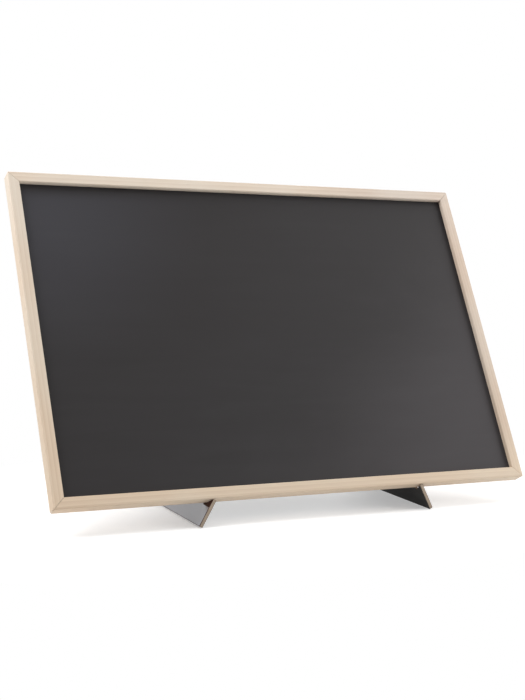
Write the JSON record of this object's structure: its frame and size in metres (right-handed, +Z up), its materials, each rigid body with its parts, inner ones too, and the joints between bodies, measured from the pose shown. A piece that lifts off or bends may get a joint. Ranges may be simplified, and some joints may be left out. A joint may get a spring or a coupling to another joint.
{
  "type": "chalkboard with stand",
  "caption": "Tabletop chalkboard in a mitred pale wood frame, leaning back on a plate with fold-out wings that splay as feet.",
  "frame": {"origin": "on the ground, under the middle of the whole object's box", "axes": "+X to the right as seen from the front, +Y from the front to the back, square to the board's lower edge, +Z up"},
  "size_m": [0.6, 0.2098, 0.3798],
  "materials": {
    "pale_wood": "satin",
    "chalk_black": "matte",
    "hardboard": "matte",
    "black_board": "satin",
    "hinge_steel": "satin",
    "fastener_steel": "satin"
  },
  "bodies": {
    "board": {"bottom_rail": "pale_wood", "top_rail": "pale_wood", "left_rail": "pale_wood", "right_rail": "pale_wood", "corner_nail_bottom_left": "fastener_steel", "corner_nail_bottom_right": "fastener_steel", "corner_nail_top_left": "fastener_steel", "corner_nail_top_right": "fastener_steel", "writing_sheet": "chalk_black", "core_board": "hardboard", "back_batten": "pale_wood", "stand_plate": "black_board", "plate_screw_1": "fastener_steel", "plate_screw_2": "fastener_steel", "plate_screw_3": "fastener_steel", "plate_screw_4": "fastener_steel", "plate_screw_5": "fastener_steel", "left_lower_hinge_plate_leaf": "hinge_steel", "left_lower_hinge_plate_rivet_1": "hinge_steel", "left_lower_hinge_plate_rivet_2": "hinge_steel", "left_lower_hinge_pin": "hinge_steel", "left_upper_hinge_plate_leaf": "hinge_steel", "left_upper_hinge_plate_rivet_1": "hinge_steel", "left_upper_hinge_plate_rivet_2": "hinge_steel", "left_upper_hinge_pin": "hinge_steel", "right_lower_hinge_plate_leaf": "hinge_steel", "right_lower_hinge_plate_rivet_1": "hinge_steel", "right_lower_hinge_plate_rivet_2": "hinge_steel", "right_lower_hinge_pin": "hinge_steel", "right_upper_hinge_plate_leaf": "hinge_steel", "right_upper_hinge_plate_rivet_1": "hinge_steel", "right_upper_hinge_plate_rivet_2": "hinge_steel", "right_upper_hinge_pin": "hinge_steel"},
    "wing_left": {"left_wing": "black_board", "left_lower_hinge_wing_leaf": "hinge_steel", "left_lower_hinge_wing_rivet_1": "hinge_steel", "left_lower_hinge_wing_rivet_2": "hinge_steel", "left_upper_hinge_wing_leaf": "hinge_steel", "left_upper_hinge_wing_rivet_1": "hinge_steel", "left_upper_hinge_wing_rivet_2": "hinge_steel"},
    "wing_right": {"right_wing": "black_board", "right_lower_hinge_wing_leaf": "hinge_steel", "right_lower_hinge_wing_rivet_1": "hinge_steel", "right_lower_hinge_wing_rivet_2": "hinge_steel", "right_upper_hinge_wing_leaf": "hinge_steel", "right_upper_hinge_wing_rivet_1": "hinge_steel", "right_upper_hinge_wing_rivet_2": "hinge_steel"}
  },
  "joints": [
    {"name": "left_wing_hinge", "type": "hinge", "parent": "board", "child": "wing_left", "pos_m": [-0.09513, -0.062, 0.06309], "axis": [0.4273, 0.4452, 0.7869], "range_deg": [0, 76]},
    {"name": "right_wing_hinge", "type": "hinge", "parent": "board", "child": "wing_right", "pos_m": [0.12712, -0.062, 0.06309], "axis": [0.4273, -0.4452, -0.7869], "range_deg": [0, 76]}
  ]
}
